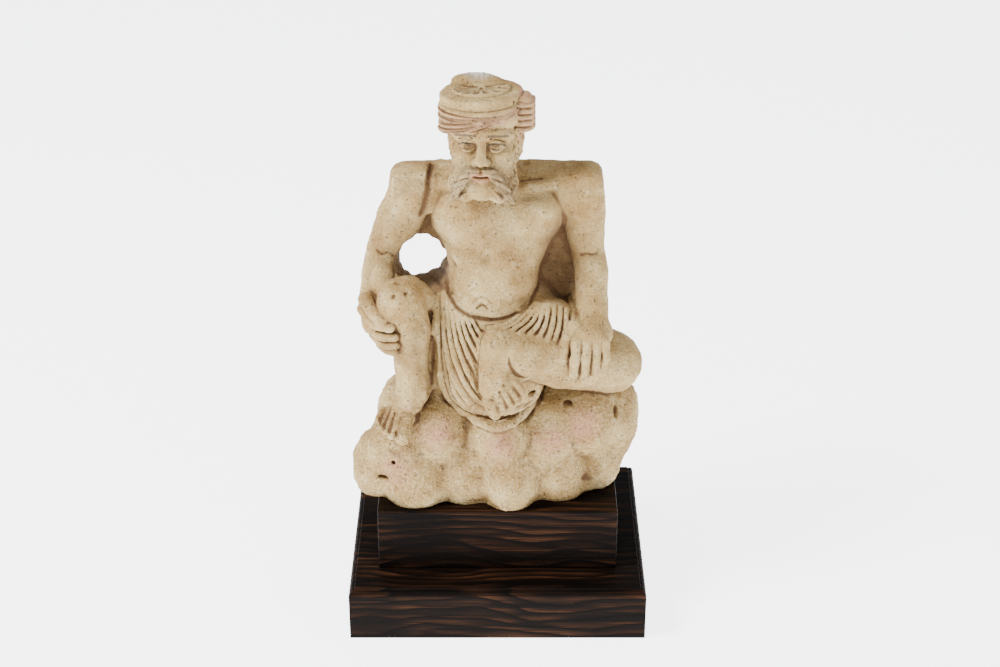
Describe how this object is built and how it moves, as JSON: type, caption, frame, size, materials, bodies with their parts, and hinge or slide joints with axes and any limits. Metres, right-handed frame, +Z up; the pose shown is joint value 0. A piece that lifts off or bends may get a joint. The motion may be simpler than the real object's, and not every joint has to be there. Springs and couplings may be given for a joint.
{
  "type": "seated plaster figure on a stand",
  "caption": "Plaster figure of a seated bearded man in a turban, one leg crossed over a rounded rock, on a stepped dark wooden stand.",
  "frame": {"origin": "centre of the underside of the stand's lower board", "axes": "+Z up, the figure looks along -Y, +X to the viewer's right"},
  "size_m": [0.24, 0.193, 0.4456],
  "materials": {
    "plaster": "matte",
    "stained_wood": "satin"
  },
  "bodies": {
    "root": {"figure": "plaster", "stand_block": "stained_wood", "stand_board": "stained_wood"}
  },
  "joints": []
}
